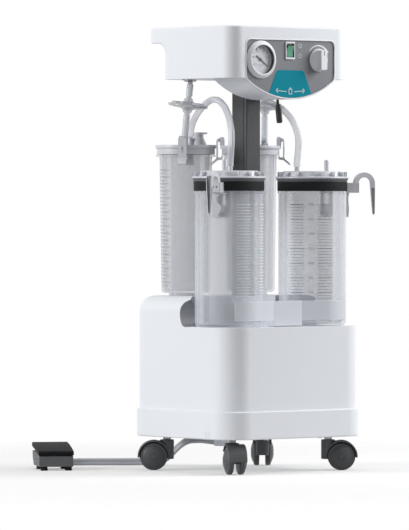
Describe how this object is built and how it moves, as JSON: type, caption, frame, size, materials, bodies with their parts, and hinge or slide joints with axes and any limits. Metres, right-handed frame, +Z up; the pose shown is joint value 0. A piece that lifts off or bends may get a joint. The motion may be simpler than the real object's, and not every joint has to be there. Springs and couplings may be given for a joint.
{
  "type": "suction pump",
  "caption": "Mobile surgical suction pump: trolley base on casters, column with gauge and regulator head, capped jars, loop hoses and a foot pedal.",
  "frame": {"origin": "on the floor, under the middle of the footprint of the trolley and its foot pedal together", "axes": "+Z up, the control panel faces -Y, +X is to the right of a person who faces the panel"},
  "size_m": [0.5096, 0.4768, 0.795],
  "materials": {
    "white_plastic": "satin white moulded plastic",
    "grey_panel": "grey film panel",
    "anodised_column": "dark anodised extrusion",
    "bright_steel": "zinc-plated or stainless steel",
    "cast_motor": "painted motor casting",
    "cast_alloy": "cast alloy",
    "black_rubber": "black rubber",
    "black_plastic": "black moulded plastic",
    "dark_plastic": "dark grey moulded plastic",
    "wheel_tread": "dark grey wheel plastic",
    "clear_jar": "clear polycarbonate",
    "clear_glass": "clear lens",
    "grey_lid": "light grey moulded plastic",
    "sheet_metal": "light grey sheet metal",
    "dial_card": "grey printed dial",
    "lit_green": "green lit rocker",
    "clear_tube": "clear silicone tube",
    "grey_tube": "grey twin air hose",
    "brass_valve": "machined valve body"
  },
  "bodies": {
    "trolley": {"base_tray": "white_plastic", "base_cover": "white_plastic", "column": "anodised_column", "column_flanges": "bright_steel", "head_shell": "white_plastic", "head_base": "white_plastic", "front_panel": "grey_panel", "gauge_case": "white_plastic", "gauge_dial": "dial_card", "gauge_glass": "clear_glass", "switch_frame": "white_plastic", "regulator_valve": "brass_valve", "selector_valve": "brass_valve", "inlet_ports": "dark_plastic", "filters": "clear_jar", "air_tubes": "clear_tube", "jar_band": "sheet_metal", "front_jars": "clear_jar", "jar_seals": "black_rubber", "front_lids": "grey_lid", "front_spigots": "grey_lid", "float_cages": "clear_jar", "hook_left": "grey_lid", "hook_right": "grey_lid", "rear_jars": "clear_jar", "rear_lids": "grey_lid", "rear_fittings": "grey_lid", "clip_pins": "bright_steel", "hose_left": "clear_tube", "hose_right": "clear_tube", "pump_motor": "cast_motor", "pump_heads": "cast_alloy", "pump_mounts": "black_rubber", "power_inlet": "black_plastic", "pedal_base": "dark_plastic", "pedal_pin": "bright_steel", "pedal_spring": "bright_steel", "pedal_feet": "black_rubber", "pedal_hose": "grey_tube", "screws": "bright_steel"},
    "selector_lever": {"selector_lever": "black_plastic"},
    "regulator_knob": {"regulator_knob": "white_plastic"},
    "power_rocker": {"power_rocker": "lit_green"},
    "gauge_needle": {"gauge_needle": "black_plastic"},
    "float_left": {"float_left": "white_plastic"},
    "float_right": {"float_right": "white_plastic"},
    "pump_rotor": {"pump_rotor": "bright_steel"},
    "pedal_treadle": {"pedal_treadle": "black_plastic"},
    "caster_front_left": {"fork_front_left": "dark_plastic"},
    "wheel_front_left": {"wheels_front_left": "wheel_tread"},
    "caster_front_right": {"fork_front_right": "dark_plastic"},
    "wheel_front_right": {"wheels_front_right": "wheel_tread"},
    "caster_rear_left": {"fork_rear_left": "dark_plastic"},
    "wheel_rear_left": {"wheels_rear_left": "wheel_tread"},
    "caster_rear_right": {"fork_rear_right": "dark_plastic"},
    "wheel_rear_right": {"wheels_rear_right": "wheel_tread"},
    "clip_left_front": {"clip_left_front": "grey_lid"},
    "clip_left_rear": {"clip_left_rear": "grey_lid"},
    "clip_right_front": {"clip_right_front": "grey_lid"},
    "clip_right_rear": {"clip_right_rear": "grey_lid"}
  },
  "joints": [
    {"name": "swivel_front_left", "type": "hinge", "parent": "trolley", "child": "caster_front_left", "pos_m": [-0.051, -0.164, 0.06], "axis": [0, 0, 1], "continuous": true},
    {"name": "roll_front_left", "type": "hinge", "parent": "caster_front_left", "child": "wheel_front_left", "pos_m": [-0.06227, -0.18519, 0.025], "axis": [0.8829, -0.4695, 0], "continuous": true},
    {"name": "swivel_front_right", "type": "hinge", "parent": "trolley", "child": "caster_front_right", "pos_m": [0.173, -0.164, 0.06], "axis": [0, 0, 1], "continuous": true},
    {"name": "roll_front_right", "type": "hinge", "parent": "caster_front_right", "child": "wheel_front_right", "pos_m": [0.19165, -0.1791, 0.025], "axis": [0.6293, 0.7771, 0], "continuous": true},
    {"name": "swivel_rear_left", "type": "hinge", "parent": "trolley", "child": "caster_rear_left", "pos_m": [-0.051, 0.02, 0.06], "axis": [0, 0, 1], "continuous": true},
    {"name": "roll_rear_left", "type": "hinge", "parent": "caster_rear_left", "child": "wheel_rear_left", "pos_m": [-0.06965, 0.0351, 0.025], "axis": [-0.6293, -0.7771, 0], "continuous": true},
    {"name": "swivel_rear_right", "type": "hinge", "parent": "trolley", "child": "caster_rear_right", "pos_m": [0.173, 0.02, 0.06], "axis": [0, 0, 1], "continuous": true},
    {"name": "roll_rear_right", "type": "hinge", "parent": "caster_rear_right", "child": "wheel_rear_right", "pos_m": [0.1881, 0.03865, 0.025], "axis": [-0.7771, 0.6293, 0], "continuous": true},
    {"name": "selector_swing", "type": "hinge", "parent": "trolley", "child": "selector_lever", "pos_m": [0.061, -0.152, 0.69], "axis": [0, 1, 0], "range_deg": [-23, 37]},
    {"name": "regulator_turn", "type": "hinge", "parent": "trolley", "child": "regulator_knob", "pos_m": [0.1256, -0.1905, 0.736], "axis": [0, 1, 0], "range_deg": [0, 270]},
    {"name": "rocker_tilt", "type": "hinge", "parent": "trolley", "child": "power_rocker", "pos_m": [0.06, -0.1875, 0.752], "axis": [1, 0, 0], "range_deg": [-24, 0]},
    {"name": "needle_turn", "type": "hinge", "parent": "trolley", "child": "gauge_needle", "pos_m": [-0.0073, -0.1905, 0.735], "axis": [0, -1, 0], "range_deg": [0, 250], "stiffness_Nm_per_rad": 0.001, "springref_deg": -17.19},
    {"name": "float_left_rise", "type": "slide", "parent": "trolley", "child": "float_left", "axis": [0, 0, 1], "range_m": [0, 0.029]},
    {"name": "float_right_rise", "type": "slide", "parent": "trolley", "child": "float_right", "axis": [0, 0, 1], "range_m": [0, 0.029]},
    {"name": "rotor_spin", "type": "hinge", "parent": "trolley", "child": "pump_rotor", "pos_m": [0.061, -0.15, 0.138], "axis": [1, 0, 0], "continuous": true},
    {"name": "treadle_press", "type": "hinge", "parent": "trolley", "child": "pedal_treadle", "pos_m": [-0.2025, 0.15924, 0.0156], "axis": [-0.866, 0.5, 0], "range_deg": [0, 5], "stiffness_Nm_per_rad": 3, "springref_deg": -3.44, "deforming": ["pedal_spring"]},
    {"name": "open_clip_left_front", "type": "hinge", "parent": "trolley", "child": "clip_left_front", "pos_m": [-0.05177, -0.02607, 0.597], "axis": [-0.7071, 0.7071, 0], "range_deg": [0, 40]},
    {"name": "open_clip_left_rear", "type": "hinge", "parent": "trolley", "child": "clip_left_rear", "pos_m": [0.02177, 0.04747, 0.597], "axis": [0.7071, -0.7071, 0], "range_deg": [0, 40]},
    {"name": "open_clip_right_front", "type": "hinge", "parent": "trolley", "child": "clip_right_front", "pos_m": [0.17377, -0.02607, 0.597], "axis": [-0.7071, -0.7071, 0], "range_deg": [0, 40]},
    {"name": "open_clip_right_rear", "type": "hinge", "parent": "trolley", "child": "clip_right_rear", "pos_m": [0.10023, 0.04747, 0.597], "axis": [0.7071, 0.7071, 0], "range_deg": [0, 40]}
  ]
}
